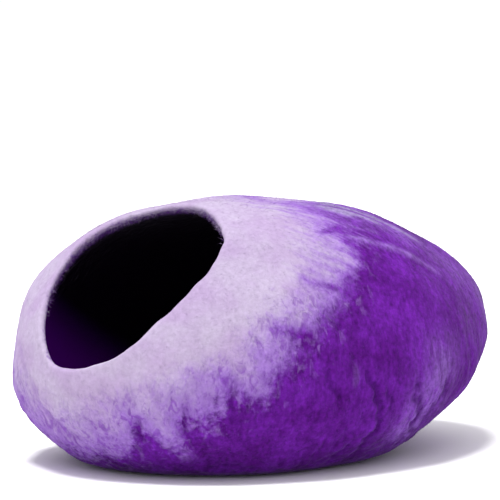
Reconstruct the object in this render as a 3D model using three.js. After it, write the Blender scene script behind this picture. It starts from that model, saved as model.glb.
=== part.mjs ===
// Felt cat cave: a seamless pouch of wet-felted wool, shaped like a large flattened pebble, with one
// round hand-cut mouth that faces forward and up. It stands flat on its belly.
//
// Millimetres, +Z up, the mouth towards -Y. The origin is the middle of the box at floor height.
//
// Every point of the felt is found from a direction, a unit vector out of the middle of the pouch.
// Longitude 0 is the right-hand side (+X), -90 the front (-Y), 90 the back; latitude 90 is the top.

import * as THREE from 'three';

// ---- Driving dimensions ----

const halfWidth = 200;        // middle to either side
const frontReach = 290;       // middle to the nose below the mouth
const backReach = 270;        // middle to the rounded back
const crownHeight = 168;      // widest line up to the crown
const bellyDepth = 123;       // widest line down to the belly, before the floor presses it flat
const middleHeight = 93.5;    // widest line above the floor, at the middle
const climb = 0.06;           // rise of the widest line towards the back, per mm
const endLift = 0.09;         // extra lift of both ends, per mm
const frontSwell = 0.1;       // share by which the front is wider than the middle
const frontCrown = 0.24;      // share by which the front is taller than the middle
const floorRounding = 11;     // height over which the flat belly rolls up into the sides

const wall = 7;               // thickness of the felt
const mouthRise = 38.5;       // degrees from level up to the mouth's axis
const mouthTurn = 6.5;        // degrees that the mouth's axis is turned towards +X

const outerSpacing = 12.5;    // between neighbouring points on the outside
const innerSpacing = 24;      // and on the inside
const outerRings = 54;        // rings from the lip to the back, outside
const innerRings = 27;        // and inside
const lipRows = 3;            // rows round the half-round lip
const smallestRing = 6;       // points on the rings next to the back poles
const ringSamples = 180;      // steps along which a ring's length is measured
const probe = 0.001;          // step, in radians, for finding the felt's slope

// The cut edge of the mouth: how far from the mouth's axis the outer face ends, in degrees, at each
// turn about that axis. Turn 0 is towards the right-hand side, 90 up over the crown.
const mouthEdge = [
  { turn: 0, opening: 24.3 },
  { turn: 30, opening: 24.6 },
  { turn: 60, opening: 24.1 },
  { turn: 90, opening: 26.4 },
  { turn: 115, opening: 27.6 },
  { turn: 140, opening: 24.5 },
  { turn: 165, opening: 22.9 },
  { turn: 190, opening: 23 },
  { turn: 210, opening: 25.5 },
  { turn: 230, opening: 30.8 },
  { turn: 250, opening: 38.3 },
  { turn: 262, opening: 38.5 },
  { turn: 285, opening: 34.6 },
  { turn: 310, opening: 29.1 },
  { turn: 335, opening: 25.6 },
];

// Broad places where the felt dried over the ball fuller or flatter: rise in mm, spread in degrees.
const lumps = [
  { longitude: -130, latitude: -18, spread: 26, rise: 8.5 },
  { longitude: 60, latitude: 20, spread: 26, rise: 6.5 },
  { longitude: -150, latitude: 45, spread: 26, rise: 10 },
  { longitude: 0, latitude: 55, spread: 26, rise: 13 },
  { longitude: -100, latitude: -40, spread: 24, rise: 2.5 },
  { longitude: 90, latitude: 50, spread: 28, rise: 1 },
  { longitude: 60, latitude: -35, spread: 22, rise: -3 },
  { longitude: -137, latitude: 22, spread: 24, rise: 7.5 },
  { longitude: 25, latitude: -28, spread: 24, rise: 4 },
  { longitude: -137, latitude: -34, spread: 20, rise: -4 },
];
const lumpReach = 230;        // mean distance from the middle, where a lump has its stated rise

// Long low swells over the whole surface: each wave repeats after so many mm along X, Y and Z.
const swells = [
  { x: 150, y: 210, z: 170, shift: 0.4, rise: 0.9 },
  { x: -115, y: 160, z: 130, shift: 1.9, rise: 0.7 },
  { x: 95, y: -120, z: 88, shift: 3.1, rise: 0.5 },
];

// Creases pressed into the outside while it dried. Each runs from one longitude and latitude to
// another; spread and depth in mm, and a negative depth stands proud of the surface.
const creases = [
  // right-hand side, below the widest line
  { from: [-14, 2], to: [-9, -15], spread: 8, depth: 2.8 },
  { from: [-9, -15], to: [-11, -34], spread: 8, depth: 2.5 },
  { from: [-1, -12], to: [4, -22], spread: 8, depth: 2.2 },
  { from: [4, -22], to: [2, -33], spread: 8, depth: 1.9 },
  { from: [12, -4], to: [13, -18], spread: 8, depth: 2 },
  { from: [-4, -16], to: [-3, -30], spread: 8, depth: -1.6 },
  { from: [-20, -28], to: [-20, -38], spread: 7, depth: 1.6 },
  { from: [-26, 5], to: [-22, -6], spread: 8, depth: 1.8 },
  { from: [-24, 23], to: [-21, 15], spread: 7, depth: 1.5 },
  { from: [22, 6], to: [26, -14], spread: 9, depth: 2.2 },
  { from: [36, -2], to: [33, -22], spread: 9, depth: 2 },
  // right shoulder, one raised strand of wool
  { from: [-8, 48], to: [3, 45], spread: 6, depth: -1.3 },
  { from: [3, 45], to: [14, 39], spread: 6, depth: -1.5 },
  { from: [14, 39], to: [22, 32], spread: 6, depth: -1.2 },
  // front, below the mouth
  { from: [-53, 12], to: [-54, 0], spread: 7, depth: 1.4 },
  { from: [-57, -4], to: [-59, -21], spread: 7, depth: 1.8 },
  { from: [-67, -10], to: [-59, -29], spread: 8, depth: -1.7 },
  { from: [-69, -7], to: [-72, -26], spread: 7, depth: 1.6 },
  { from: [-76, -21], to: [-75, -31], spread: 7, depth: -1.3 },
  { from: [-94, -24], to: [-101, -17], spread: 8, depth: 2.2 },
  { from: [-116, 8], to: [-105, -5], spread: 9, depth: 1.6 },
  { from: [-105, -5], to: [-97, -22], spread: 9, depth: 1.4 },
  // left-hand side
  { from: [-140, 10], to: [-146, -14], spread: 9, depth: 2.4 },
  { from: [-157, 2], to: [-154, -22], spread: 8, depth: 2.1 },
  { from: [-172, 12], to: [-176, -12], spread: 9, depth: 2.3 },
  { from: [172, -8], to: [169, -28], spread: 8, depth: 1.8 },
  { from: [-150, 38], to: [-168, 31], spread: 7, depth: -1.4 },
  // back
  { from: [58, 4], to: [62, -18], spread: 9, depth: 2.2 },
  { from: [83, 10], to: [80, -14], spread: 9, depth: 2.5 },
  { from: [101, -2], to: [105, -24], spread: 8, depth: 2 },
  { from: [126, 8], to: [121, -16], spread: 9, depth: 2.3 },
  { from: [148, 2], to: [152, -20], spread: 8, depth: 1.9 },
  { from: [70, 44], to: [92, 39], spread: 7, depth: -1.4 },
  { from: [118, 40], to: [139, 46], spread: 7, depth: -1.2 },
];
const creaseEnd = 0.5;        // share of its depth that a crease keeps at either end

// ---- The form of the felt ----

function directionOf(longitude, latitude) {
  const turn = THREE.MathUtils.degToRad(longitude);
  const rise = THREE.MathUtils.degToRad(latitude);
  const level = Math.cos(rise);
  return new THREE.Vector3(Math.cos(turn) * level, Math.sin(turn) * level, Math.sin(rise));
}

const mouthAxis = directionOf(mouthTurn - 90, mouthRise);
const mouthRight = directionOf(mouthTurn, 0);
const mouthUp = mouthAxis.clone().cross(mouthRight);

// The floor presses the belly flat: heights below it become zero, through one smooth roll.
function pressFlat(height) {
  if (height <= -floorRounding) return 0;
  if (height >= floorRounding) return height;
  return (height + floorRounding) ** 2 / (4 * floorRounding);
}

const lumpCentres = lumps.map((lump) => directionOf(lump.longitude, lump.latitude));

function fullness(direction) {
  let share = 1;
  lumps.forEach((lump, row) => {
    const away = direction.angleTo(lumpCentres[row]) / THREE.MathUtils.degToRad(lump.spread);
    share += (lump.rise / lumpReach) * Math.exp(-(away ** 2));
  });
  return share;
}

// Smooth outside of the pouch, before its creases.
function skinPoint(direction) {
  const { x, y, z } = direction;
  const reach = y < 0 ? frontReach : backReach;
  const height = z > 0 ? crownHeight : bellyDepth;
  const share = fullness(direction);
  const widestLine = middleHeight + climb * reach * y + endLift * reach * y * y;
  return new THREE.Vector3(
    halfWidth * x * (1 - frontSwell * y) * share,
    reach * y * share,
    pressFlat(widestLine + height * z * (1 - frontCrown * y) * share),
  );
}

// Which way the smooth outside faces, from two short steps along it.
function skinNormal(direction) {
  const steep = Math.abs(direction.z) > Math.SQRT1_2;
  const aside = new THREE.Vector3(steep ? 1 : 0, 0, steep ? 0 : 1).cross(direction).normalize();
  const across = direction.clone().cross(aside);
  const here = skinPoint(direction);
  const one = skinPoint(direction.clone().addScaledVector(aside, probe).normalize()).sub(here);
  const other = skinPoint(direction.clone().addScaledVector(across, probe).normalize()).sub(here);
  return one.cross(other).normalize();
}

const creaseLines = creases.map(({ from, to }) => new THREE.Line3(
  skinPoint(directionOf(...from)),
  skinPoint(directionOf(...to)),
));

// How far the creases and swells lift the outside off the smooth skin at a point.
function relief(point) {
  const nearest = new THREE.Vector3();
  let lift = 0;
  creases.forEach(({ spread, depth }, row) => {
    const along = creaseLines[row].closestPointToPointParameter(point, true);
    creaseLines[row].at(along, nearest);
    const away = nearest.distanceTo(point) / spread;
    const strength = THREE.MathUtils.lerp(creaseEnd, 1, Math.sin(Math.PI * along));
    lift -= depth * strength * Math.exp(-(away ** 2));
  });
  for (const { x, y, z, shift, rise } of swells) {
    lift += rise * Math.sin(2 * Math.PI * (point.x / x + point.y / y + point.z / z) + shift);
  }
  return lift;
}

// The outside, creased everywhere but where it lies flat on the floor.
function outerPoint(direction) {
  const point = skinPoint(direction);
  const offTheFloor = Math.min(1, point.z / floorRounding);
  return point.addScaledVector(skinNormal(direction), relief(point) * offTheFloor);
}

function innerPoint(direction) {
  return skinPoint(direction).addScaledVector(skinNormal(direction), -wall);
}

// ---- The mouth ----

// Opening angle at any turn, in radians: a smooth closed curve through the rows of the table.
function openingAt(turn) {
  const rows = mouthEdge.length;
  const degrees = THREE.MathUtils.euclideanModulo(THREE.MathUtils.radToDeg(turn), 360);
  const row = mouthEdge.findLastIndex((edge) => edge.turn <= degrees);
  const [before, start, end, after] = [-1, 0, 1, 2].map((step) => {
    const edge = mouthEdge[(row + step + rows) % rows];
    return { turn: edge.turn + 360 * Math.floor((row + step) / rows), opening: edge.opening };
  });
  const span = end.turn - start.turn;
  const share = (degrees - start.turn) / span;
  const startSlope = ((end.opening - before.opening) / (end.turn - before.turn)) * span;
  const endSlope = ((after.opening - start.opening) / (after.turn - start.turn)) * span;
  const square = share ** 2;
  const cube = share ** 3;
  const opening = (2 * cube - 3 * square + 1) * start.opening
    + (cube - 2 * square + share) * startSlope
    + (3 * square - 2 * cube) * end.opening
    + (cube - square) * endSlope;
  return THREE.MathUtils.degToRad(opening);
}

// Direction at a turn about the mouth's axis, a share of the way from the lip (0) to the back (1).
function directionBehindMouth(turn, share) {
  const angle = THREE.MathUtils.lerp(openingAt(turn), Math.PI, share);
  return mouthAxis.clone().multiplyScalar(Math.cos(angle))
    .addScaledVector(mouthRight, Math.sin(angle) * Math.cos(turn))
    .addScaledVector(mouthUp, Math.sin(angle) * Math.sin(turn));
}

// A point of the half-round lip: 0 where it leaves the outer face, 1 where it meets the inner one.
function lipPoint(turn, share) {
  const edge = directionBehindMouth(turn, 0);
  const outwards = skinNormal(edge);
  const outer = outerPoint(edge);
  const inner = innerPoint(edge);
  const intoMouth = outer.clone().sub(skinPoint(directionBehindMouth(turn, probe)));
  intoMouth.projectOnPlane(outwards).normalize();
  const radius = outer.distanceTo(inner) / 2;
  return outer.add(inner).multiplyScalar(0.5)
    .addScaledVector(outwards, radius * Math.cos(Math.PI * share))
    .addScaledVector(intoMouth, radius * Math.sin(Math.PI * share));
}

// ---- The mesh ----

// Points evenly spaced along the closed ring that pointAt(turn) describes.
function evenRing(pointAt, spacing) {
  const step = (2 * Math.PI) / ringSamples;
  const lengths = [0];
  let last = pointAt(0);
  for (let sample = 1; sample <= ringSamples; sample += 1) {
    const next = pointAt(sample * step);
    lengths.push(lengths[sample - 1] + next.distanceTo(last));
    last = next;
  }
  const count = Math.max(smallestRing, Math.round(lengths[ringSamples] / spacing));
  const ring = [];
  let sample = 0;
  for (let number = 0; number < count; number += 1) {
    const wanted = (lengths[ringSamples] * number) / count;
    while (lengths[sample + 1] <= wanted) sample += 1;
    const share = (wanted - lengths[sample]) / (lengths[sample + 1] - lengths[sample]);
    ring.push(pointAt((sample + share) * step));
  }
  return ring;
}

// Rings from the inner back, forward to the lip, over it and back along the outside.
function feltRings() {
  const rings = [[innerPoint(mouthAxis.clone().negate())]];
  for (let number = innerRings - 1; number >= 0; number -= 1) {
    const share = number / innerRings;
    rings.push(evenRing((turn) => innerPoint(directionBehindMouth(turn, share)), innerSpacing));
  }
  for (let row = lipRows; row >= 1; row -= 1) {
    rings.push(evenRing((turn) => lipPoint(turn, row / (lipRows + 1)), outerSpacing));
  }
  for (let number = 0; number < outerRings; number += 1) {
    const share = number / outerRings;
    rings.push(evenRing((turn) => outerPoint(directionBehindMouth(turn, share)), outerSpacing));
  }
  rings.push([outerPoint(mouthAxis.clone().negate())]);
  return rings;
}

// Triangles between two neighbouring rings, which may differ in their number of points.
function stitch(near, nearStart, far, farStart) {
  const triangles = [];
  let i = 0;
  let j = 0;
  const nearSteps = near > 1 ? near : 0;
  const farSteps = far > 1 ? far : 0;
  while (i < nearSteps || j < farSteps) {
    const a = nearStart + (i % near);
    const b = farStart + (j % far);
    const nearTurn = nearSteps ? (i + 1) / near : Infinity;
    const farTurn = farSteps ? (j + 1) / far : Infinity;
    if (nearTurn <= farTurn) {
      i += 1;
      triangles.push(a, b, nearStart + (i % near));
    } else {
      j += 1;
      triangles.push(a, b, farStart + (j % far));
    }
  }
  return triangles;
}

function feltGeometry() {
  const rings = feltRings();
  const points = rings.flat();
  const triangles = [];
  let start = 0;
  for (let number = 1; number < rings.length; number += 1) {
    const near = rings[number - 1].length;
    triangles.push(...stitch(near, start, rings[number].length, start + near));
    start += near;
  }
  const geometry = new THREE.BufferGeometry().setFromPoints(points);
  geometry.setIndex(triangles);
  geometry.computeBoundingBox();
  const middle = geometry.boundingBox.getCenter(new THREE.Vector3());
  geometry.translate(-middle.x, -middle.y, 0);
  geometry.computeVertexNormals();
  return geometry;
}

const purpleFelt = new THREE.MeshStandardMaterial({ color: 0x8b5ab6, roughness: 0.95, metalness: 0 });

const feltCave = new THREE.Mesh(feltGeometry(), purpleFelt);
feltCave.name = 'felt_cave';

const catCave = new THREE.Group();
catCave.add(feltCave);

export default catCave;
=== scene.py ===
# A felt cat cave on a studio floor: one seamless shell of wet-felted wool, pale lilac round the mouth,
# purple over its back and belly and deep violet inside. Everything is in metres, +Z up, mouth to -Y.

import math

import bpy
import numpy as np
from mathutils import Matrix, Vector, noise


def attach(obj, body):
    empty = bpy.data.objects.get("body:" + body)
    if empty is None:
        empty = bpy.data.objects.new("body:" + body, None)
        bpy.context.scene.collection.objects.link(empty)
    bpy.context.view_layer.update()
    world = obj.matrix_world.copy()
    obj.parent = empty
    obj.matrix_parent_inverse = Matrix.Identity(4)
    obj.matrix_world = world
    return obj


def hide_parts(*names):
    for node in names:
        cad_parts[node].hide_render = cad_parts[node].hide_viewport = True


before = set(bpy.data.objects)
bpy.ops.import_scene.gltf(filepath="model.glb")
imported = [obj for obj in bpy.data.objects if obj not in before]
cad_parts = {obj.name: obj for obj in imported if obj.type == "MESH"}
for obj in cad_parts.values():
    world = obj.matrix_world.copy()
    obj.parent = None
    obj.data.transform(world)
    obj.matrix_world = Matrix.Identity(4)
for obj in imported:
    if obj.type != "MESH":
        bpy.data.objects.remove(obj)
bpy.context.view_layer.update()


# ---- Camera ----
# A long lens, low down and 2.3 m off the cave's right-hand front, so that the mouth shows on the
# left and the purple side fills the right.

camera_target = Vector((0.0, 0.0105, 0.140))
camera_distance = 2.311
camera_turn = math.radians(43.3)      # from straight in front towards the right-hand side
camera_rise = math.radians(5.0)
camera_lens = 159.0                   # mm, on a sensor 36 mm wide
look_left = 0.0233                    # the picture's middle lies this far left of the target
look_above = 0.0684                   # and this far above it

camera_back = Vector((
    math.sin(camera_turn) * math.cos(camera_rise),
    -math.cos(camera_turn) * math.cos(camera_rise),
    math.sin(camera_rise),
))
camera_right = Vector((math.cos(camera_turn), math.sin(camera_turn), 0.0))
camera_up = camera_back.cross(camera_right)
camera_place = camera_target + camera_distance * camera_back
looked_at = camera_target - look_left * camera_right + look_above * camera_up

camera_data = bpy.data.cameras.new("camera")
camera_data.lens = camera_lens
camera_data.sensor_width = 36.0
camera = bpy.data.objects.new("camera", camera_data)
camera.location = camera_place
camera.rotation_euler = (looked_at - camera_place).to_track_quat("-Z", "Y").to_euler()
bpy.context.scene.collection.objects.link(camera)
bpy.context.scene.camera = camera


# ---- Felt shell: its form ----
# Wool laid over a flat round resist, felted in one piece, then stretched over a ball to dry. Every
# point is found from a direction out of the middle: longitude 0 is +X, -90 the front, latitude 90 up.

half_width = 0.200
front_reach = 0.290
back_reach = 0.270
crown_height = 0.168                  # from the middle up
belly_depth = 0.123                   # from the middle down, were the floor not in its way
middle_height = 0.0935
climb = 0.06                          # how the widest line rises towards the back, as a share
end_lift = 0.09                       # and towards both ends
front_swell = 0.10                    # how much wider the front is than the middle, as a share
front_crown = 0.24                    # and how much taller
floor_rounding = 0.011
wall = 0.007
mouth_rise = 38.5                     # degrees from level up to the mouth's axis
mouth_turn = 6.5                      # and from straight in front to the right

mouth_edge = [       # turn about the mouth's axis and opening there, in degrees
    (0, 24.3),
    (30, 24.6),
    (60, 24.1),
    (90, 26.4),
    (115, 27.6),
    (140, 24.5),
    (165, 22.9),
    (190, 23.0),
    (210, 25.5),
    (230, 30.8),
    (250, 38.3),
    (262, 38.5),
    (285, 34.6),
    (310, 29.1),
    (335, 25.6),
]

lumps = [            # longitude, latitude and spread in degrees, rise
    (-130, -18, 26, 0.0085),
    (60, 20, 26, 0.0065),
    (-150, 45, 26, 0.01),
    (0, 55, 26, 0.013),
    (-100, -40, 24, 0.0025),
    (90, 50, 28, 0.001),
    (60, -35, 22, -0.003),
    (-137, 22, 24, 0.0075),
    (25, -28, 24, 0.004),
    (-137, -34, 20, -0.004),
]
usual_reach = 0.230                   # of the skin off the middle, to turn rises and angles to metres

swells = [           # one wave every x, y, z; its shift and rise
    (0.150, 0.210, 0.170, 0.4, 0.0009),
    (-0.115, 0.160, 0.130, 1.9, 0.0007),
    (0.095, -0.120, 0.088, 3.1, 0.0005),
]

creases = [          # from and to as longitude and latitude, spread, depth
    # right-hand side
    ((-15, 4), (-12, -7), 0.0045, 0.0030),
    ((-12, -7), (-10, -18), 0.0050, 0.0034),
    ((-10, -18), (-13, -34), 0.0050, 0.0030),
    ((-9, -3), (-7, -13), 0.0040, 0.0018),
    ((-1, -9), (3, -18), 0.0045, 0.0030),
    ((3, -18), (4, -30), 0.0050, 0.0028),
    ((-1, -1), (1, -7), 0.0045, 0.0022),
    ((12, -6), (11, -19), 0.0050, 0.0022),
    ((8, -16), (9, -30), 0.0045, 0.0024),
    ((-3, -14), (-2, -30), 0.0080, -0.0018),
    ((7, -4), (8, -14), 0.0070, -0.0014),
    ((-17, -26), (-20, -38), 0.0050, 0.0022),
    ((-26, 5), (-22, -6), 0.0050, 0.0022),
    ((-24, 23), (-21, 15), 0.0050, 0.0018),
    ((-18, 8), (-19, -4), 0.0070, -0.0012),
    ((22, 6), (26, -14), 0.009, 0.0010),
    ((36, -2), (33, -22), 0.009, 0.0012),
    # right shoulder, one raised strand of wool
    ((-10, 49), (2, 45), 0.006, -0.0013),
    ((2, 45), (12, 41), 0.006, -0.0015),
    ((12, 41), (22, 33), 0.006, -0.0012),
    # front, below the mouth and to its left
    ((-53, 12), (-54, 0), 0.005, 0.0013),
    ((-45, 4), (-47, -10), 0.005, 0.0015),
    ((-57, -4), (-59, -21), 0.005, 0.0024),
    ((-67, -10), (-59, -29), 0.009, -0.0022),
    ((-69, -7), (-72, -26), 0.005, 0.0022),
    ((-62, 4), (-64, -8), 0.005, 0.0012),
    ((-76, -21), (-75, -31), 0.007, -0.0013),
    ((-94, -24), (-101, -17), 0.008, 0.0022),
    ((-116, 8), (-105, -5), 0.009, 0.0016),
    ((-105, -5), (-97, -22), 0.009, 0.0014),
    # left-hand side
    ((-140, 10), (-146, -14), 0.009, 0.0024),
    ((-157, 2), (-154, -22), 0.008, 0.0021),
    ((-172, 12), (-176, -12), 0.009, 0.0023),
    ((172, -8), (169, -28), 0.008, 0.0018),
    ((-150, 38), (-168, 31), 0.007, -0.0014),
    # back
    ((58, 4), (62, -18), 0.009, 0.0022),
    ((83, 10), (80, -14), 0.009, 0.0025),
    ((101, -2), (105, -24), 0.008, 0.0020),
    ((126, 8), (121, -16), 0.009, 0.0023),
    ((148, 2), (152, -20), 0.008, 0.0019),
    ((70, 44), (92, 39), 0.007, -0.0014),
    ((118, 40), (139, 46), 0.007, -0.0012),
]
crease_end = 0.5                      # a crease's depth at its ends, as a share of its middle's
crease_snake = 0.0026                 # how far it winds off a straight line
crease_bends = 7                      # how much it winds, in radians from end to end
crease_shift = 1.9                    # and how far each is out of step with the one before


def direction_of(longitude, latitude):
    turn, rise = math.radians(longitude), math.radians(latitude)
    level = math.cos(rise)
    return np.array([math.cos(turn) * level, math.sin(turn) * level, math.sin(rise)])


mouth_axis = direction_of(mouth_turn - 90, mouth_rise)
mouth_right = direction_of(mouth_turn, 0)
mouth_up = np.cross(mouth_axis, mouth_right)


def unit(vectors):
    return vectors / np.linalg.norm(vectors, axis=-1, keepdims=True)


def press_flat(height):
    """Rest the belly on the floor, with a round bend where it lifts off."""
    rolled = (height + floor_rounding) ** 2 / (4 * floor_rounding)
    return np.where(height <= -floor_rounding, 0.0, np.where(height >= floor_rounding, height, rolled))


def skin_points(directions):
    """The smooth outside of the pouch."""
    x, y, z = directions.T
    reach = np.where(y < 0, front_reach, back_reach)
    height = np.where(z > 0, crown_height, belly_depth)
    fullness = np.ones(len(directions))
    for longitude, latitude, spread, rise in lumps:
        cosine = np.clip(directions @ direction_of(longitude, latitude), -1, 1)
        away = np.arccos(cosine) / math.radians(spread)
        fullness += rise / usual_reach * np.exp(-away ** 2)
    widest_line = middle_height + climb * reach * y + end_lift * reach * y * y
    return np.stack([
        half_width * x * (1 - front_swell * y) * fullness,
        reach * y * fullness,
        press_flat(widest_line + height * z * (1 - front_crown * y) * fullness),
    ], axis=1)


def skin_normals(directions):
    probe = 0.001
    steep = np.abs(directions[:, 2:]) > math.sqrt(0.5)
    helper = np.where(steep, [1.0, 0.0, 0.0], [0.0, 0.0, 1.0])
    aside = unit(np.cross(helper, directions))
    across = np.cross(directions, aside)
    here = skin_points(directions)
    one = skin_points(unit(directions + probe * aside)) - here
    other = skin_points(unit(directions + probe * across)) - here
    return unit(np.cross(one, other))


def crease_lift(points):
    """How far the listed creases lift each point: below zero in a trough."""
    lift = np.zeros(len(points))
    for number, (start, end, spread, depth) in enumerate(creases):
        first, last = skin_points(np.array([direction_of(*start), direction_of(*end)]))
        line = last - first
        aside = unit(np.cross(line, first + last - [0, 0, 2 * middle_height]))
        along = np.clip((points - first) @ line / (line @ line), 0, 1)[:, None]
        snaking = crease_snake * np.sin(crease_bends * along + crease_shift * number)
        away = np.linalg.norm(points - first - along * line - snaking * aside, axis=1) / spread
        along = along[:, 0]
        strength = crease_end + (1 - crease_end) * np.sin(np.pi * along)
        lift -= depth * strength * np.exp(-away ** 2)
    return lift


def swell_lift(points):
    lift = np.zeros(len(points))
    for x, y, z, shift, rise in swells:
        lift += rise * np.sin(2 * np.pi * (points @ [1 / x, 1 / y, 1 / z]) + shift)
    return lift


# ---- Felt shell: its mesh ----
# Rings round the mouth's axis, closely and evenly spaced, run from the inner back forward to the
# lip, over it and back along the outside, and each is stitched to the next into one closed wall.

outer_spacing = 0.0032
inner_spacing = 0.0062
outer_rings = 212
inner_rings = 105
lip_rows = 7
smallest_ring = 6                     # points in it
ring_samples = 720                    # places tried when a ring's length is measured


def around(turns, table):
    """A smooth closed curve through a table's (turn, value) rows, at turns in radians."""
    degrees = np.degrees(turns) % 360
    result = np.zeros(len(degrees))
    rows = len(table)
    for row in range(rows):
        (t0, v0), (t1, v1), (t2, v2), (t3, v3) = [
            (table[(row + step) % rows][0] + 360 * ((row + step) // rows), table[(row + step) % rows][1])
            for step in (-1, 0, 1, 2)
        ]
        here = (degrees >= t1) & (degrees <= t2)
        share = (degrees[here] - t1) / (t2 - t1)
        start_slope = (v2 - v0) / (t2 - t0) * (t2 - t1)
        end_slope = (v3 - v1) / (t3 - t1) * (t2 - t1)
        result[here] = (
            (2 * share ** 3 - 3 * share ** 2 + 1) * v1
            + (share ** 3 - 2 * share ** 2 + share) * start_slope
            + (3 * share ** 2 - 2 * share ** 3) * v2
            + (share ** 3 - share ** 2) * end_slope
        )
    return result


snips = [            # waves in the cut edge of the mouth: how many, shift, degrees
    (5, 0.7, 0.14),
    (12, 2.1, 0.11),
    (21, 4.0, 0.09),
]


def behind_mouth(turns, share):
    """Directions at turns about the mouth's axis, a share of the way from the lip to the back."""
    opening = np.radians(around(turns, mouth_edge))
    for waves, shift, wave_rise in snips:
        opening = opening + np.radians(wave_rise) * np.sin(waves * turns + shift)
    angle = (opening + (np.pi - opening) * share)[:, None]
    side = np.cos(turns)[:, None] * mouth_right + np.sin(turns)[:, None] * mouth_up
    return np.cos(angle) * mouth_axis + np.sin(angle) * side


def even_turns(share, spacing):
    """Turns that space points evenly along one ring."""
    turns = np.linspace(0, 2 * np.pi, ring_samples + 1)
    ring = skin_points(behind_mouth(turns, share))
    steps = np.linalg.norm(np.diff(ring, axis=0), axis=1)
    lengths = np.concatenate([[0], np.cumsum(steps)])
    count = max(smallest_ring, round(lengths[-1] / spacing))
    return np.interp(np.arange(count) * lengths[-1] / count, lengths, turns)


def stitch(near, near_start, far, far_start):
    """Triangles between two neighbouring rings, which may differ in their number of points."""
    near_turns = (np.arange(near) + 1) / near if near > 1 else np.array([])
    far_turns = (np.arange(far) + 1) / far if far > 1 else np.array([])
    order = np.argsort(np.concatenate([near_turns, far_turns]), kind="stable")
    on_near = order < len(near_turns)
    i = np.cumsum(on_near)
    j = np.cumsum(~on_near)
    third = np.where(on_near, near_start + i % near, far_start + j % far)
    first = near_start + (i - on_near) % near
    second = far_start + (j - ~on_near) % far
    return np.stack([first, second, third], axis=1)


# Rows of the shell: direction of each point, and how far round the wall it lies. Depth 0 is the
# outer face, 1 the inner face, and between them the half-round lip.
rings = [(1.0, 1.0, inner_spacing)]            # share of the way to the back, depth, spacing
for number in range(inner_rings - 1, -1, -1):
    rings.append((number / inner_rings, 1.0, inner_spacing))
for row in range(lip_rows, 0, -1):
    rings.append((0.0, row / (lip_rows + 1), outer_spacing))
for number in range(outer_rings):
    rings.append((number / outer_rings, 0.0, outer_spacing))
rings.append((1.0, 0.0, outer_spacing))

ring_directions = [
    behind_mouth(even_turns(share, spacing), share) if share < 1 else -mouth_axis[None]
    for share, ring_depth, spacing in rings
]
ring_sizes = [len(ring) for ring in ring_directions]
directions = np.concatenate(ring_directions)
behind_share = np.repeat([ring[0] for ring in rings], ring_sizes)
depth = np.repeat([ring[1] for ring in rings], ring_sizes)
ring_starts = np.cumsum([0] + ring_sizes[:-1])
triangles = np.concatenate([
    stitch(ring_sizes[number], ring_starts[number], ring_sizes[number + 1], ring_starts[number + 1])
    for number in range(len(ring_sizes) - 1)
])


# ---- Felt shell: its uneven surface ----
# The drying felt shrinks into shallow dimples all over, and crinkles most where the sides tuck
# under towards the floor. The floor itself keeps the belly flat.

dimple_size = 0.042
dimple_rise = 0.0007
crinkle_width = 0.012
crinkle_height = 0.036
crinkle_rise = 0.0017
crinkle_sharpness = 2.4
crinkle_least = 0.15                  # share that is left high up, where the side is drawn tight
crinkle_shift = 3.7
tuck_low = 0.030                      # heights between which the tuck under eases off
tuck_high = 0.150
cobble_size = 0.011
cobble_rise = 0.00035
cobble_shift = 9.1
crumple_size = 0.0095
crumple_height = 0.016
crumple_rise = 0.0018
crumple_shift = 5.3
lip_probe = 0.001                     # how far behind the lip its way into the mouth is taken

crumpled_lines = [   # where the lilac wool thins: from and to as longitude and latitude, spread
    ((-100, -20), (-76, -18), 0.024),
    ((-76, -18), (-46, 0), 0.040),
    ((-46, 0), (-26, 24), 0.032),
    ((-26, 24), (-16, 48), 0.022),
]

skin = skin_points(directions)
normals = skin_normals(directions)


def noise_at(points, width, height=None, shift=0.0):
    """Smooth noise between about -1 and 1, with features width across and height tall."""
    sizes = np.array([width, width, height or width])
    return np.array([noise.noise(Vector(point)) for point in points / sizes + shift])


def smooth_step(low, high, value):
    share = np.clip((value - low) / (high - low), 0, 1)
    return share * share * (3 - 2 * share)


def nearness(points, start, end, spread):
    """1 along a line laid over the skin, fading to 0 within a few spreads of it."""
    first, last = skin_points(np.array([direction_of(*start), direction_of(*end)]))
    line = last - first
    along = np.clip((points - first) @ line / (line @ line), 0, 1)
    away = np.linalg.norm(points - first - along[:, None] * line, axis=1) / spread
    return np.exp(-away ** 2)


outside = depth < 1
seen = skin[outside]
tucked = 1 - smooth_step(tuck_low, tuck_high, seen[:, 2])
crinkle_noise = np.abs(noise_at(seen, crinkle_width, crinkle_height, crinkle_shift))
crinkles = np.clip(1 - crinkle_noise * crinkle_sharpness, 0, 1) ** 2
thin_wool = np.zeros(len(seen))
for start, end, spread in crumpled_lines:
    thin_wool = np.maximum(thin_wool, nearness(seen, start, end, spread))
folds = (
    crease_lift(seen)
    - crinkle_rise * (crinkle_least + (1 - crinkle_least) * tucked) * crinkles
    + crumple_rise * thin_wool * noise_at(seen, crumple_size, crumple_height, crumple_shift)
)
off_the_floor = np.clip(skin[:, 2] / floor_rounding, 0, 1)
fold_lift = np.zeros(len(skin))
fold_lift[outside] = folds
felt_lift = np.zeros(len(skin))
felt_lift[outside] = (
    folds
    + swell_lift(seen)
    + dimple_rise * noise_at(seen, dimple_size)
    + cobble_rise * noise_at(seen, cobble_size, shift=cobble_shift)
)
felt_lift *= off_the_floor

outer_face = skin + normals * felt_lift[:, None]
inner_face = skin - normals * wall

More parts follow.
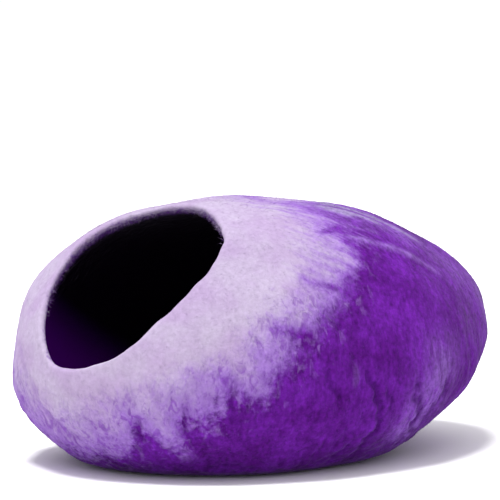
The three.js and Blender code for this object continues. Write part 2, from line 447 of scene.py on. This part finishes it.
# The lip bulges into the mouth: away from the felt just behind it, square to the wall.
behind = skin_points(unit(directions - lip_probe * mouth_axis))
into_mouth = skin - behind
into_mouth -= np.sum(into_mouth * normals, axis=1, keepdims=True) * normals
into_mouth = unit(into_mouth)
lip_middle = (outer_face + inner_face) / 2
lip_radius = np.linalg.norm(outer_face - inner_face, axis=1, keepdims=True) / 2
shell_points = (
    lip_middle
    + normals * lip_radius * np.cos(np.pi * depth)[:, None]
    + into_mouth * lip_radius * np.sin(np.pi * depth)[:, None]
)
shell_middle = (shell_points.min(0) + shell_points.max(0)) / 2
shell_points[:, :2] -= shell_middle[:2]

shell_mesh = bpy.data.meshes.new("wool_shell")
shell_mesh.from_pydata(shell_points.tolist(), [], triangles.tolist())
shell_mesh.shade_smooth()
shell = bpy.data.objects.new("wool_shell", shell_mesh)
bpy.context.scene.collection.objects.link(shell)


# ---- Felt shell: its wool ----
# Lilac wool lies round the mouth, over purple wool that wraps the back and belly, and violet wool
# lines the inside. They mat together where they meet, so each edge is ragged, veined and wispy.

lilac_edge = [       # turn about the mouth's axis and reach of the lilac wool, in degrees
    (0, 52.0),
    (30, 51.0),
    (43, 49.0),
    (53, 47.0),
    (68, 45.0),
    (83, 44.5),
    (115, 48.5),
    (150, 53.0),
    (185, 51.0),
    (220, 61.0),
    (240, 69.0),
    (254, 72.0),
    (266, 70.5),
    (277, 65.0),
    (288, 61.5),
    (298, 58.5),
    (309, 57.0),
    (320, 54.6),
    (340, 52.0),
]

# Tufts laid over the meeting line, from one longitude and latitude to another: spread, and
# how far each pushes the line. A pale tuft is above zero, a dark one below.
tufts = [
    ((-51, 14), (-41, -2), 0.012, 0.010),
    ((-38, 7), (-35, 12), 0.010, 0.010),
    ((-44, 5), (-38, -5), 0.012, 0.014),
    ((-65, -9), (-60, -28), 0.013, 0.027),
    ((-77, -14), (-79, -28), 0.012, 0.014),
    ((-18, 44), (-14, 40), 0.014, 0.010),
    ((-14, 40), (-21, 34), 0.010, 0.010),
    ((-28, 24), (-30, 20), 0.010, 0.010),
    ((-47, -1), (-46, -12), 0.008, -0.020),
    ((-54, 2), (-47, 3), 0.006, -0.018),
    ((-58, -14), (-56, -24), 0.008, -0.018),
    ((-69, -16), (-69, -28), 0.008, -0.022),
    ((-73, -10), (-70, -21), 0.007, -0.016),
    ((-37, 17), (-30, 14), 0.007, -0.020),
    ((-29, 33), (-21, 30), 0.005, -0.018),
    ((-21, 50), (-12, 53), 0.005, -0.018),
    ((-10, 60), (0, 57), 0.006, -0.014),
    # The last, pale tuft along the top also stands for painted sheen there.
    ((-30, 80), (5, 76), 0.018, 0.050),
]

# A bloom of pale fibres over the purple wool, which along the top and down the right-hand side is
# partly painted sheen: from and to, spread, strength. At 1 its thickest streaks hide the purple, and
# the stronger it is, the greyer.
blooms_and_sheen = [
    ((-30, 80), (22, 76), 0.022, 1.60),
    ((10, 72), (24, 62), 0.022, 1.60),
    ((22, 60), (30, 48), 0.016, 1.10),
    ((-16, 70), (0, 62), 0.018, 1.50),
    ((0, 62), (12, 56), 0.011, 1.20),
    ((-8, 60), (20, 50), 0.020, 0.70),
    ((-10, 49), (2, 45), 0.0045, 0.90),
    ((2, 45), (12, 41), 0.0045, 0.80),
    ((12, 41), (22, 33), 0.0045, 0.60),
    ((-6, 54), (4, 51), 0.0040, 0.75),
    ((30, 40), (45, 25), 0.040, 0.40),
    ((9, 0), (2, -26), 0.032, 0.75),
    ((150, 40), (172, 20), 0.040, 0.34),
    ((80, 45), (115, 36), 0.040, 0.34),
]


turns = np.arctan2(directions @ mouth_up, directions @ mouth_right)
from_axis = np.degrees(np.arccos(np.clip(directions @ mouth_axis, -1, 1)))
past_lilac = np.radians(from_axis - around(turns, lilac_edge)) * usual_reach
for start, end, spread, push in tufts:
    past_lilac -= push * nearness(skin, start, end, spread)
bloom_and_sheen = np.zeros(len(skin))
for start, end, spread, strength in blooms_and_sheen:
    bloom_and_sheen = np.maximum(bloom_and_sheen, strength * nearness(skin, start, end, spread))


def store(mesh, name, values):
    layer = mesh.attributes.new(name, "FLOAT", "POINT")
    layer.data.foreach_set("value", np.asarray(values, np.float32))


store(shell_mesh, "past_lilac", past_lilac)
# How far past the outer edge of the lip each point lies, in metres, over the lip and down inside.
inner_reach = np.linalg.norm(skin - skin_points(behind_mouth(turns, 0.0)), axis=1)
past_lip = np.where(depth < 1, depth * np.pi / 2 * wall, np.pi / 2 * wall + inner_reach)
store(shell_mesh, "past_lip", past_lip)
store(shell_mesh, "fold_lift", fold_lift)
store(shell_mesh, "bloom_and_sheen", bloom_and_sheen)
# How little light should reach each point inside: less towards the back and the crown, and less
# again in the bottom of the pouch.
deep_per_metre_up = 3.2
deep_at_bottom = 0.26
bottom_top = 0.070                    # heights between which the bottom's share comes in
bottom_full = 0.030
in_bottom = smooth_step(bottom_top, bottom_full, skin[:, 2])
deep = behind_share + deep_per_metre_up * skin[:, 2] + deep_at_bottom * in_bottom
store(shell_mesh, "deep", np.where(depth == 1, deep, 0))


class Tree:
    """A short way to add nodes to a shader or geometry tree and to join their sockets."""

    def __init__(self, tree):
        self.tree = tree

    def put(self, socket, value):
        if isinstance(value, bpy.types.NodeSocket):
            self.tree.links.new(value, socket)
        else:
            socket.default_value = value

    def add(self, kind, inputs=None, **settings):
        node = self.tree.nodes.new(kind)
        for name, value in settings.items():
            setattr(node, name, value)
        for name, value in (inputs or {}).items():
            self.put(node.inputs[name], value)
        return node

    def math(self, operation, *values):
        node = self.add("ShaderNodeMath", operation=operation)
        for socket, value in zip(node.inputs, values):
            self.put(socket, value)
        return node.outputs[0]

    def times(self, value, factor):
        return self.math("MULTIPLY", value, factor)

    def times_and_add(self, value, factor, added):
        return self.math("MULTIPLY_ADD", value, factor, added)

    def ramp(self, value, none_at, full_at):
        """0 at none_at, 1 at full_at and smooth between, whichever of the two is larger."""
        inputs = {"Value": value, "From Min": none_at, "From Max": full_at}
        return self.add("ShaderNodeMapRange", inputs, interpolation_type="SMOOTHSTEP").outputs[0]

    def blend(self, share, one, other):
        node = self.add("ShaderNodeMix", data_type="RGBA")
        for socket, value in zip((node.inputs[0], node.inputs[6], node.inputs[7]), (share, one, other)):
            self.put(socket, value)
        return node.outputs[2]

    def shaded(self, tone, brightness):
        inputs = {0: tone, "Scale": brightness}
        return self.add("ShaderNodeVectorMath", inputs, operation="SCALE").outputs[0]

    def noise(self, place, scale, detail=2.0, roughness=0.5, distortion=0.0):
        """Noise about zero."""
        inputs = {"Vector": place, "Scale": scale, "Detail": detail, "Roughness": roughness,
                  "Distortion": distortion}
        fac = self.add("ShaderNodeTexNoise", inputs).outputs["Fac"]
        return self.math("SUBTRACT", fac, 0.5)

    def stretched(self, place, lengths, turn=(0, 0, 0), shift=(0, 0, 0)):
        """Place seen along turned axes, so that what it feeds grows longer by each axis's length."""
        inputs = {"Vector": place, "Scale": lengths, "Rotation": turn, "Location": shift}
        return self.add("ShaderNodeMapping", inputs, vector_type="TEXTURE").outputs[0]


def colour(red, green, blue):
    """A finish's colour from its usual 0 to 255 values, as the light that the wool gives back."""
    parts = [part / 255 for part in (red, green, blue)]
    linear = [part / 12.92 if part <= 0.04045 else ((part + 0.055) / 1.055) ** 2.4 for part in parts]
    return (*linear, 1.0)


pale_lilac = colour(169, 156, 181)
lilac = colour(161, 142, 175)
bright_violet = colour(140, 107, 175)
mid_purple = colour(126, 86, 168)
purple = colour(96, 28, 142)
# a darker purple in the wool's own patches, and painted shade low down
deep_purple_and_shade = colour(70, 13, 102)
# painted shade in the hollows of folds in the lilac
crease_shade_violet = colour(112, 68, 150)
# greyer pale fibres, and painted sheen along the top edge
grey_lilac_and_sheen = colour(133, 116, 160)
# painted shade in the hollows of folds in the purple
crease_shade_purple = colour(52, 6, 80)
violet_inside = colour(134, 12, 182)
mid_inside = colour(90, 30, 136)
violet_rim = colour(72, 14, 108)
# painted shade deep inside the pouch, where little light would reach
inside_painted_shade = colour(14, 2, 21)


def group_socket(group, name, kind, direction, value=None):
    socket = group.interface.new_socket(name, in_out=direction, socket_type=kind)
    if value is not None:
        socket.default_value = value


# The wools' colours at every point of the felt, from what is stored there: metres past the meeting
# line, past the lip and up a fold, how little light would reach it inside (painted shade), and how
# much pale bloom and painted sheen it carries.
wool_colours = bpy.data.node_groups.new("wool_colours", "ShaderNodeTree")
for input_name in ("Past Lilac", "Past Lip", "Fold Lift", "Inside Shade", "Bloom And Sheen"):
    group_socket(wool_colours, input_name, "NodeSocketFloat", "INPUT", 0.0)
group_socket(wool_colours, "Color", "NodeSocketColor", "OUTPUT")
group_socket(wool_colours, "Relief", "NodeSocketFloat", "OUTPUT")
tree = Tree(wool_colours)
given = tree.add("NodeGroupInput").outputs
place = tree.add("ShaderNodeTexCoord").outputs["Object"]
height = tree.add("ShaderNodeSeparateXYZ", {"Vector": place}).outputs["Z"]
low_down = tree.ramp(height, none_at=0.155, full_at=0.055)
high_up = tree.ramp(height, none_at=0.165, full_at=0.215)

# The line where the wools meet wanders at four sizes, most of all low down. High up it is combed
# out into streaks that run back round the side. A push is how far a noise of 1 would move it.
wander_push = 0.026
blot_push = 0.026
blot_push_low = 0.030                 # as much more again low down
fleck_push = 0.030
fleck_push_low = 0.036
streak_push = 0.075
crumple_push = 0.020

wander_noise = tree.noise(place, scale=15.0, detail=2.0, roughness=0.5)
blot_noise = tree.noise(place, scale=50.0, detail=3.0, roughness=0.55, distortion=0.3)
fleck_noise = tree.noise(place, scale=150.0, detail=4.0, roughness=0.65, distortion=0.5)
combed = tree.stretched(place, lengths=(6.0, 1.0, 0.8), turn=(0.0, 0.36, 0.75))
combed_noise = tree.noise(combed, scale=110.0, detail=3.0, roughness=0.6, distortion=0.2)
crumpling = tree.stretched(place, lengths=(1.0, 1.0, 1.8))
crumple = tree.noise(crumpling, scale=95.0, detail=3.0, roughness=0.55, distortion=0.5)
edge = given["Past Lilac"]
for push in (
    tree.times(wander_noise, wander_push),
    tree.times(blot_noise, tree.times_and_add(low_down, blot_push_low, blot_push)),
    tree.times(fleck_noise, tree.times_and_add(low_down, fleck_push_low, fleck_push)),
    tree.times(combed_noise, tree.times(high_up, streak_push)),
    tree.times(crumple, crumple_push),
):
    edge = tree.math("ADD", edge, push)

# Each wool is a little uneven in itself, and the purple is painted darker low down, as painted shade.
patchy_share = 0.4
low_painted_shade = -0.15
cloudy_noise = tree.noise(place, scale=24.0, detail=3.0, roughness=0.55)
patchy_noise = tree.noise(place, scale=70.0, detail=4.0, roughness=0.6, distortion=0.5)
cloudy = tree.ramp(cloudy_noise, none_at=-0.16, full_at=0.16)
patchy = tree.ramp(patchy_noise, none_at=-0.18, full_at=0.18)
lilac_wool = tree.blend(cloudy, lilac, pale_lilac)
dyed = tree.times_and_add(patchy, patchy_share, tree.times(cloudy, 1 - patchy_share))
purple_wool = tree.blend(tree.times_and_add(low_down, low_painted_shade, dyed), deep_purple_and_shade, purple)

# The lilac wool thins out over five centimetres, and over eleven low down, through a clear violet
# to mid purple. Then the purple wool takes over within three, with the bloom of pale fibres and
# painted sheen on it.
thin_length = 0.050
thin_length_low = 0.062               # as much more again low down
bloom_least = 0.25                    # share of the bloom that no streak takes away
thinning = tree.math("DIVIDE", edge, tree.times_and_add(low_down, thin_length_low, thin_length))
wool = tree.blend(tree.ramp(thinning, none_at=-1.05, full_at=-0.05), lilac_wool, bright_violet)
wool = tree.blend(tree.ramp(thinning, none_at=-0.40, full_at=0.16), wool, mid_purple)
upright = tree.stretched(place, lengths=(1.0, 1.0, 4.0))
upright_noise = tree.noise(upright, scale=120.0, detail=3.0, roughness=0.6, distortion=0.2)
streaks_below = tree.times(upright_noise, tree.math("SUBTRACT", 1.0, high_up))
streaks = tree.math("ADD", streaks_below, tree.times(combed_noise, high_up))
streaky = tree.ramp(streaks, none_at=-0.20, full_at=0.16)
bloom_share = tree.times(given["Bloom And Sheen"], tree.times_and_add(streaky, 1 - bloom_least, bloom_least))
thick_bloom = tree.ramp(given["Bloom And Sheen"], none_at=0.6, full_at=1.3)
bloomed = tree.blend(thick_bloom, mid_purple, grey_lilac_and_sheen)
bare = tree.blend(bloom_share, purple_wool, bloomed)
wool = tree.blend(tree.ramp(edge, none_at=-0.012, full_at=0.020), wool, bare)

# Where it thins it also crumples, though less high up: painted shade in the creases, a painted
# highlight along the ridges, and fine dark lines of painted shade.
smooth_high = -0.7
crumple_shade_share = 0.55
crumple_highlight_share = 0.50
wrinkle_shade_share = 0.30
starting = tree.ramp(thinning, none_at=-1.1, full_at=-0.35)
crumpled = tree.times(starting, tree.ramp(edge, none_at=0.050, full_at=0.005))
crumpled = tree.times(crumpled, tree.times_and_add(high_up, smooth_high, 1.0))
crumple_shade = tree.times(crumpled, tree.ramp(crumple, none_at=-0.04, full_at=-0.14))
crumple_highlight = tree.times(crumpled, tree.ramp(crumple, none_at=0.04, full_at=0.16))
wool = tree.blend(tree.times(crumple_shade, crumple_shade_share), wool, purple)
wool = tree.blend(tree.times(crumple_highlight, crumple_highlight_share), wool, bright_violet)
wrinkling = tree.stretched(place, lengths=(1.0, 1.0, 1.5), shift=(0.3, 0.1, 0.2))
wrinkle_noise = tree.noise(wrinkling, scale=200.0, detail=3.0, roughness=0.55, distortion=0.8)
wrinkle_shade = tree.times(crumpled, tree.ramp(wrinkle_noise, none_at=-0.04, full_at=-0.13))
wool = tree.blend(tree.times(wrinkle_shade, wrinkle_shade_share), wool, purple)

# Folds get painted shade in their hollows, most in the purple, and a painted highlight along their backs.
hollow_least = 0.35
hollow_more = 0.25
fold_highlight_share = 0.16
hollow_shade = tree.ramp(given["Fold Lift"], none_at=-0.0005, full_at=-0.0026)
hollow_shade_colour = tree.blend(tree.ramp(edge, none_at=-0.02, full_at=0.01), crease_shade_violet, crease_shade_purple)
in_purple = tree.ramp(edge, none_at=-0.04, full_at=0.01)
hollow_shade_share = tree.times_and_add(in_purple, hollow_more, hollow_least)
wool = tree.blend(tree.times(hollow_shade, hollow_shade_share), wool, hollow_shade_colour)
back = tree.ramp(given["Fold Lift"], none_at=0.0001, full_at=0.0014)
wool = tree.blend(tree.times(back, fold_highlight_share), wool, bright_violet)

# A fine fleck all over, strongest in the purple wool, which has short upright strokes as well, and
# a slow drift in depth of dye.
fleck_least = 0.48
fleck_more = 1.05
drift_share = 0.22
stroke_most = 0.80
fine = tree.noise(place, scale=230.0, detail=4.0, roughness=0.65)
drifting = tree.stretched(place, lengths=(1.0, 1.0, 1.0), shift=(0.7, 0.3, 0.5))
drift = tree.noise(drifting, scale=11.0, detail=2.0)
fleck_share = tree.times_and_add(tree.ramp(edge, none_at=-0.03, full_at=0.02), fleck_more, fleck_least)
stroking = tree.stretched(place, lengths=(1.0, 1.0, 3.0), shift=(0.2, 0.6, 0.1))
strokes = tree.noise(stroking, scale=200.0, detail=2.0, roughness=0.55, distortion=0.4)
stroke_share = tree.times(tree.ramp(edge, none_at=-0.02, full_at=0.03), stroke_most)
shade = tree.math("ADD", tree.times_and_add(fine, fleck_share, 1.0), tree.times(drift, drift_share))
shade = tree.times_and_add(strokes, stroke_share, shade)
wool = tree.shaded(wool, shade)

# The violet wool inside starts over the lip, with a ragged edge, and behind it fades into painted
# shade, nearly black where little light would reach.
rag_push = 0.012
fray_push = 0.014
rag = tree.noise(place, scale=90.0, detail=3.0, roughness=0.6)
fray = tree.noise(place, scale=260.0, detail=4.0, roughness=0.65)
over_lip = tree.times_and_add(fray, fray_push, tree.times_and_add(rag, rag_push, given["Past Lip"]))
inside_shade_share = tree.ramp(given["Inside Shade"], none_at=0.61, full_at=0.76)
inner_wool_and_shade = tree.blend(inside_shade_share, violet_inside, inside_painted_shade)
wool = tree.blend(tree.ramp(over_lip, none_at=0.0045, full_at=0.0120), wool, mid_inside)
wool = tree.blend(tree.ramp(over_lip, none_at=0.0085, full_at=0.0200), wool, violet_rim)
wool = tree.blend(tree.ramp(over_lip, none_at=0.0160, full_at=0.0360), wool, inner_wool_and_shade)
tree.add("NodeGroupOutput", {"Color": wool, "Relief": tree.times(crumple, crumpled)})

# The felt's own grain: pebbled by the rubbing, with matted fibres that cross each other.
felt_grain = bpy.data.node_groups.new("felt_grain", "ShaderNodeTree")
group_socket(felt_grain, "Pebbles", "NodeSocketFloat", "INPUT", 1.4)
group_socket(felt_grain, "Height", "NodeSocketFloat", "OUTPUT")
tree = Tree(felt_grain)
given = tree.add("NodeGroupInput").outputs
place = tree.add("ShaderNodeTexCoord").outputs["Object"]
pebbles = tree.noise(place, scale=150.0, detail=3.0, roughness=0.55)
one_way = tree.stretched(place, lengths=(1.0, 2.8, 1.4), turn=(0.4, 0.7, 0.2))
other_way = tree.stretched(place, lengths=(2.8, 1.0, 1.2), turn=(1.1, 0.2, 0.9))
fibres = tree.noise(one_way, scale=620.0, detail=3.0, roughness=0.6, distortion=1.2)
cross_fibres = tree.noise(other_way, scale=560.0, detail=3.0, roughness=0.6, distortion=1.2)
matted = tree.math("ADD", tree.times(fibres, 0.5), tree.times(cross_fibres, 0.5))
grain = tree.times_and_add(pebbles, given["Pebbles"], matted)
tree.add("NodeGroupOutput", {"Height": grain})

crumple_relief = 9.0                  # height of the crumples beside that of the grain
tint_shade = 0.5                      # how much lighter or darker a loose fibre may be
tint_push = 0.045                     # and how far it may stray over the meeting line


def wool_material(name, bump_distance):
    """Matt wool with a faint sheen; a stored tint makes one fibre differ from the next."""
    material = bpy.data.materials.new(name)
    material.use_nodes = True
    tree = Tree(material.node_tree)
    stored = {}
    for attribute in ("past_lilac", "past_lip", "fold_lift", "deep", "bloom_and_sheen", "tint"):
        node = tree.add("ShaderNodeAttribute", attribute_name=attribute)
        stored[attribute] = node.outputs["Fac"]
    colours = tree.add("ShaderNodeGroup", node_tree=wool_colours)
    past_lilac = tree.times_and_add(stored["tint"], tint_push, stored["past_lilac"])
    tree.put(colours.inputs["Past Lilac"], past_lilac)
    tree.put(colours.inputs["Past Lip"], stored["past_lip"])
    tree.put(colours.inputs["Fold Lift"], stored["fold_lift"])
    tree.put(colours.inputs["Inside Shade"], stored["deep"])
    tree.put(colours.inputs["Bloom And Sheen"], stored["bloom_and_sheen"])
    grain = tree.add("ShaderNodeGroup", node_tree=felt_grain).outputs["Height"]
    relief = tree.times_and_add(colours.outputs["Relief"], crumple_relief, grain)
    bump = tree.add("ShaderNodeBump", {"Height": relief, "Strength": 0.6, "Distance": bump_distance})
    brightness = tree.times_and_add(stored["tint"], tint_shade, 1.0)
    finish = material.node_tree.nodes["Principled BSDF"]
    tree.put(finish.inputs["Base Color"], tree.shaded(colours.outputs["Color"], brightness))
    tree.put(finish.inputs["Normal"], bump.outputs["Normal"])
    finish.inputs["Roughness"].default_value = 0.95
    finish.inputs["Specular IOR Level"].default_value = 0.04
    finish.inputs["Sheen Weight"].default_value = 0.10
    finish.inputs["Sheen Roughness"].default_value = 0.30
    finish.inputs["Sheen Tint"].default_value = (0.80, 0.72, 0.88, 1.0)
    return material


felt_bump = 0.0009
shell_mesh.materials.append(wool_material("felted wool", felt_bump))
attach(shell, "root")
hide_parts("felt_cave")


# ---- Loose fibres ----
# Short wool fibres work loose from the felt. They lie nearly flat over the whole skin, a little
# more of them on the front, and stand longest and thickest along the cut lip.

fibre_length = 0.0040
fibre_width = 0.00016
fibre_bend = 0.0007
fibre_turns = [0, 2 * math.pi / 3, 4 * math.pi / 3]
fibre_rows = [(0.0, 1.0), (0.55, 0.8)]            # share of its length, and of its width there

fibre_points = []
for share, thickness in fibre_rows:
    sag = fibre_bend * math.sin(math.pi * share)
    for turn in fibre_turns:
        fibre_points.append((
            math.cos(turn) * fibre_width / 2 * thickness + sag,
            math.sin(turn) * fibre_width / 2 * thickness,
            share * fibre_length,
        ))
fibre_points.append((0.0, 0.0, fibre_length))
fibre_faces = [(2, 1, 0)]
for side in range(3):
    beside = (side + 1) % 3
    fibre_faces.append((side, beside, beside + 3))
    fibre_faces.append((side, beside + 3, side + 3))
    fibre_faces.append((side + 3, beside + 3, 6))
fibre_mesh = bpy.data.meshes.new("fibre")
fibre_mesh.from_pydata(fibre_points, [], fibre_faces)
fibre_mesh.shade_smooth()
fibre = bpy.data.objects.new("fibre", fibre_mesh)

fuzz_tree = bpy.data.node_groups.new("loose_fibres", "GeometryNodeTree")
group_socket(fuzz_tree, "Geometry", "NodeSocketGeometry", "INPUT")
group_socket(fuzz_tree, "Fibre", "NodeSocketObject", "INPUT")
group_socket(fuzz_tree, "Density", "NodeSocketFloat", "INPUT", 40000.0)
group_socket(fuzz_tree, "Shortest", "NodeSocketFloat", "INPUT", 0.5)
group_socket(fuzz_tree, "Longest", "NodeSocketFloat", "INPUT", 1.2)
group_socket(fuzz_tree, "Least Lean", "NodeSocketFloat", "INPUT", 1.1)
group_socket(fuzz_tree, "Most Lean", "NodeSocketFloat", "INPUT", 1.5)
group_socket(fuzz_tree, "Seed", "NodeSocketInt", "INPUT", 1)
group_socket(fuzz_tree, "Wool", "NodeSocketMaterial", "INPUT")
group_socket(fuzz_tree, "Geometry", "NodeSocketGeometry", "OUTPUT")
tree = Tree(fuzz_tree)
asked = tree.add("NodeGroupInput").outputs
lean_seed = 11
spin_seed = 23
tint_seed = 37
size_seed = 53


def random_between(low, high, seed):
    node = tree.add("FunctionNodeRandomValue", data_type="FLOAT")
    tree.put(node.inputs[2], low)
    tree.put(node.inputs[3], high)
    tree.put(node.inputs["Seed"], tree.math("ADD", asked["Seed"], seed))
    return node.outputs[1]


fuzz_share = tree.add("GeometryNodeInputNamedAttribute", {"Name": "fuzz"}, data_type="FLOAT")
scattered = tree.add("GeometryNodeDistributePointsOnFaces", {
    "Mesh": asked["Geometry"],
    "Density": tree.times(asked["Density"], fuzz_share.outputs["Attribute"]),
    "Seed": asked["Seed"],
}, distribute_method="RANDOM")
lean_and_spin = tree.add("ShaderNodeCombineXYZ", {
    "X": random_between(asked["Least Lean"], asked["Most Lean"], lean_seed),
    "Z": random_between(0.0, 2 * math.pi, spin_seed),
}).outputs[0]
laid = tree.add("FunctionNodeRotateRotation", {
    "Rotation": scattered.outputs["Rotation"],
    "Rotate By": tree.add("FunctionNodeEulerToRotation", {"Euler": lean_and_spin}).outputs[0],
}, rotation_space="LOCAL")
tinted = tree.add("GeometryNodeStoreNamedAttribute", {
    "Geometry": scattered.outputs["Points"], "Name": "tint",
    "Value": random_between(-0.5, 0.5, tint_seed),
}, data_type="FLOAT", domain="POINT")
placed = tree.add("GeometryNodeInstanceOnPoints", {
    "Points": tinted.outputs["Geometry"],
    "Instance": tree.add("GeometryNodeObjectInfo", {"Object": asked["Fibre"]}).outputs["Geometry"],
    "Rotation": laid.outputs["Rotation"],
    "Scale": random_between(asked["Shortest"], asked["Longest"], size_seed),
})
joined = tree.add("GeometryNodeRealizeInstances", {"Geometry": placed.outputs["Instances"]})
finished = tree.add("GeometryNodeSetMaterial", {
    "Geometry": joined.outputs["Geometry"],
    "Material": asked["Wool"],
})
tree.add("NodeGroupOutput", {"Geometry": finished.outputs["Geometry"]})

loose_wool = wool_material("loose wool", 0.0)     # a single fibre has no grain


def add_fuzz(name, where, **settings):
    """Fibres scattered over the shell where the share is above 0, as one plain mesh."""
    base = shell_mesh.copy()
    store(base, "fuzz", where)
    fuzz = bpy.data.objects.new(name, base)
    bpy.context.scene.collection.objects.link(fuzz)
    grow = fuzz.modifiers.new("grow", "NODES")
    grow.node_group = fuzz_tree
    wanted = {"Fibre": fibre, "Wool": loose_wool, **settings}
    for socket in fuzz_tree.interface.items_tree:
        if socket.in_out == "INPUT" and socket.name in wanted:
            grow[socket.identifier] = wanted[socket.name]
    grown = fuzz.evaluated_get(bpy.context.evaluated_depsgraph_get())
    fibres_mesh = bpy.data.meshes.new_from_object(grown)
    fuzz.modifiers.remove(grow)
    fuzz.data = fibres_mesh
    fuzz.data.name = name
    bpy.data.meshes.remove(base)
    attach(fuzz, "root")


# The skin's fibres start clear of the floor. The front's reach farther back down the right-hand side.
bare_height = 0.010
fuzzy_height = 0.022
front_slant = 0.9
front_end = 0.12
front_full = -0.02
clear_of_floor = smooth_step(bare_height, fuzzy_height, skin[:, 2])
on_skin = np.where(depth == 0, clear_of_floor, 0.0)
front_share = smooth_step(front_end, front_full, skin[:, 1] - front_slant * skin[:, 0])
add_fuzz("front_fibres", on_skin * front_share, Density=58000.0, Seed=5)
add_fuzz("back_fibres", on_skin * (1 - front_share), Density=45000.0, Seed=8)

# The lip's stand just inside the mouth, all along its top and left and thickest between the two.
lip_fuzz_start = 0.0035
lip_fuzz_full = 0.0080
lip_fuzz_fades = 0.015
lip_fuzz_end = 0.026
lip_fuzz_middle = math.radians(126)
least_cosine = -0.25
full_cosine = 0.45
lip_share = smooth_step(lip_fuzz_start, lip_fuzz_full, past_lip)
lip_share *= smooth_step(lip_fuzz_end, lip_fuzz_fades, past_lip)
lip_share *= smooth_step(least_cosine, full_cosine, np.cos(turns - lip_fuzz_middle))
add_fuzz("lip_fibres", lip_share, Density=900000.0, Seed=13, **{
    "Shortest": 0.9, "Longest": 2.0, "Least Lean": 0.6, "Most Lean": 1.4})
bpy.data.objects.remove(fibre)


# ---- Studio ----
# A wide floor of pale matt board with white all round, plain soft light, and one broad soft lamp
# almost overhead, a little to the front.

floor_size = 24.0
floor_paleness = 0.97
horizon_light = 1.03
wall_light = 0.58
zenith_light = 1.2
overhead_power = 3.3
overhead_spread = math.radians(16)
overhead_turn = camera_turn - math.radians(40)
overhead_rise = math.radians(78)

floor_mesh = bpy.data.meshes.new("floor")
half_floor = floor_size / 2
floor_corners = [(-half_floor, -half_floor, 0), (half_floor, -half_floor, 0),
                 (half_floor, half_floor, 0), (-half_floor, half_floor, 0)]
floor_mesh.from_pydata(floor_corners, [], [(0, 1, 2, 3)])
floor = bpy.data.objects.new("floor", floor_mesh)
bpy.context.scene.collection.objects.link(floor)
floor_material = bpy.data.materials.new("pale floor")
floor_material.use_nodes = True
floor_finish = floor_material.node_tree.nodes["Principled BSDF"]
floor_finish.inputs["Base Color"].default_value = (floor_paleness, floor_paleness, floor_paleness, 1.0)
floor_finish.inputs["Roughness"].default_value = 1.0
floor_finish.inputs["Specular IOR Level"].default_value = 0.0
floor_mesh.materials.append(floor_material)

world = bpy.data.worlds.new("studio")
world.use_nodes = True
sky = Tree(world.node_tree)
upwards = sky.add("ShaderNodeSeparateXYZ", {"Vector": sky.add("ShaderNodeTexCoord").outputs["Generated"]})
higher = sky.ramp(upwards.outputs["Z"], none_at=0.25, full_at=0.95)
skyline = sky.ramp(upwards.outputs["Z"], none_at=0.20, full_at=0.07)
strength = sky.times_and_add(higher, zenith_light - wall_light, wall_light)
strength = sky.times_and_add(skyline, horizon_light - wall_light, strength)
background = world.node_tree.nodes["Background"]
background.inputs["Color"].default_value = (1.0, 1.0, 1.0, 1.0)
sky.put(background.inputs["Strength"], strength)
bpy.context.scene.world = world

overhead_data = bpy.data.lights.new("overhead", "SUN")
overhead_data.angle = overhead_spread
overhead_data.energy = overhead_power
overhead_lamp = bpy.data.objects.new("overhead", overhead_data)
overhead_way = Vector((
    math.sin(overhead_turn) * math.cos(overhead_rise),
    -math.cos(overhead_turn) * math.cos(overhead_rise),
    math.sin(overhead_rise),
))
overhead_lamp.location = overhead_way
overhead_lamp.rotation_euler = (-overhead_way).to_track_quat("-Z", "Y").to_euler()
bpy.context.scene.collection.objects.link(overhead_lamp)

bpy.context.scene.view_settings.view_transform = "Standard"
